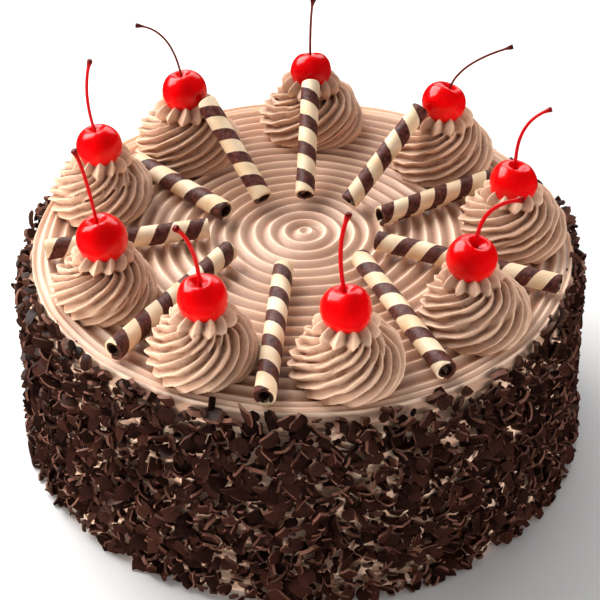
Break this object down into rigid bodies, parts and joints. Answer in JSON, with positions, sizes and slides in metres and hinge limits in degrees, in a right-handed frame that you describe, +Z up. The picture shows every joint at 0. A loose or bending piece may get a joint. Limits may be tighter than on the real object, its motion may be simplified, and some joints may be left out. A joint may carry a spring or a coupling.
{
  "type": "black forest cake",
  "caption": "Round whole cake in chocolate cream with a combed top and a flake-covered side, ringed with piped rosettes, stemmed cherries and striped wafer rolls.",
  "frame": {"origin": "centre of the flat underside, at the surface the cake stands on", "axes": "+Z up; the front of the cake as seen towards -Y; +X to the right"},
  "size_m": [0.269, 0.269, 0.1712],
  "materials": {
    "frosting": "soft chocolate cream, satin",
    "chocolate_flakes": "dark chocolate flakes pressed into cream",
    "cherry": "glossy candied cherry",
    "wafer": "baked wafer with dark spiral stripes"
  },
  "bodies": {
    "root": {"cake": "chocolate_flakes", "rosette_1": "frosting", "rosette_2": "frosting", "rosette_3": "frosting", "rosette_4": "frosting", "rosette_5": "frosting", "rosette_6": "frosting", "rosette_7": "frosting", "rosette_8": "frosting", "rosette_9": "frosting", "cherry_1": "cherry", "cherry_2": "cherry", "cherry_3": "cherry", "cherry_4": "cherry", "cherry_5": "cherry", "cherry_6": "cherry", "cherry_7": "cherry", "cherry_8": "cherry", "cherry_9": "cherry", "wafer_roll_1": "wafer", "wafer_roll_2": "wafer", "wafer_roll_3": "wafer", "wafer_roll_4": "wafer", "wafer_roll_5": "wafer", "wafer_roll_6": "wafer", "wafer_roll_7": "wafer", "wafer_roll_8": "wafer", "wafer_roll_9": "wafer", "wafer_roll_10": "wafer"}
  },
  "joints": []
}
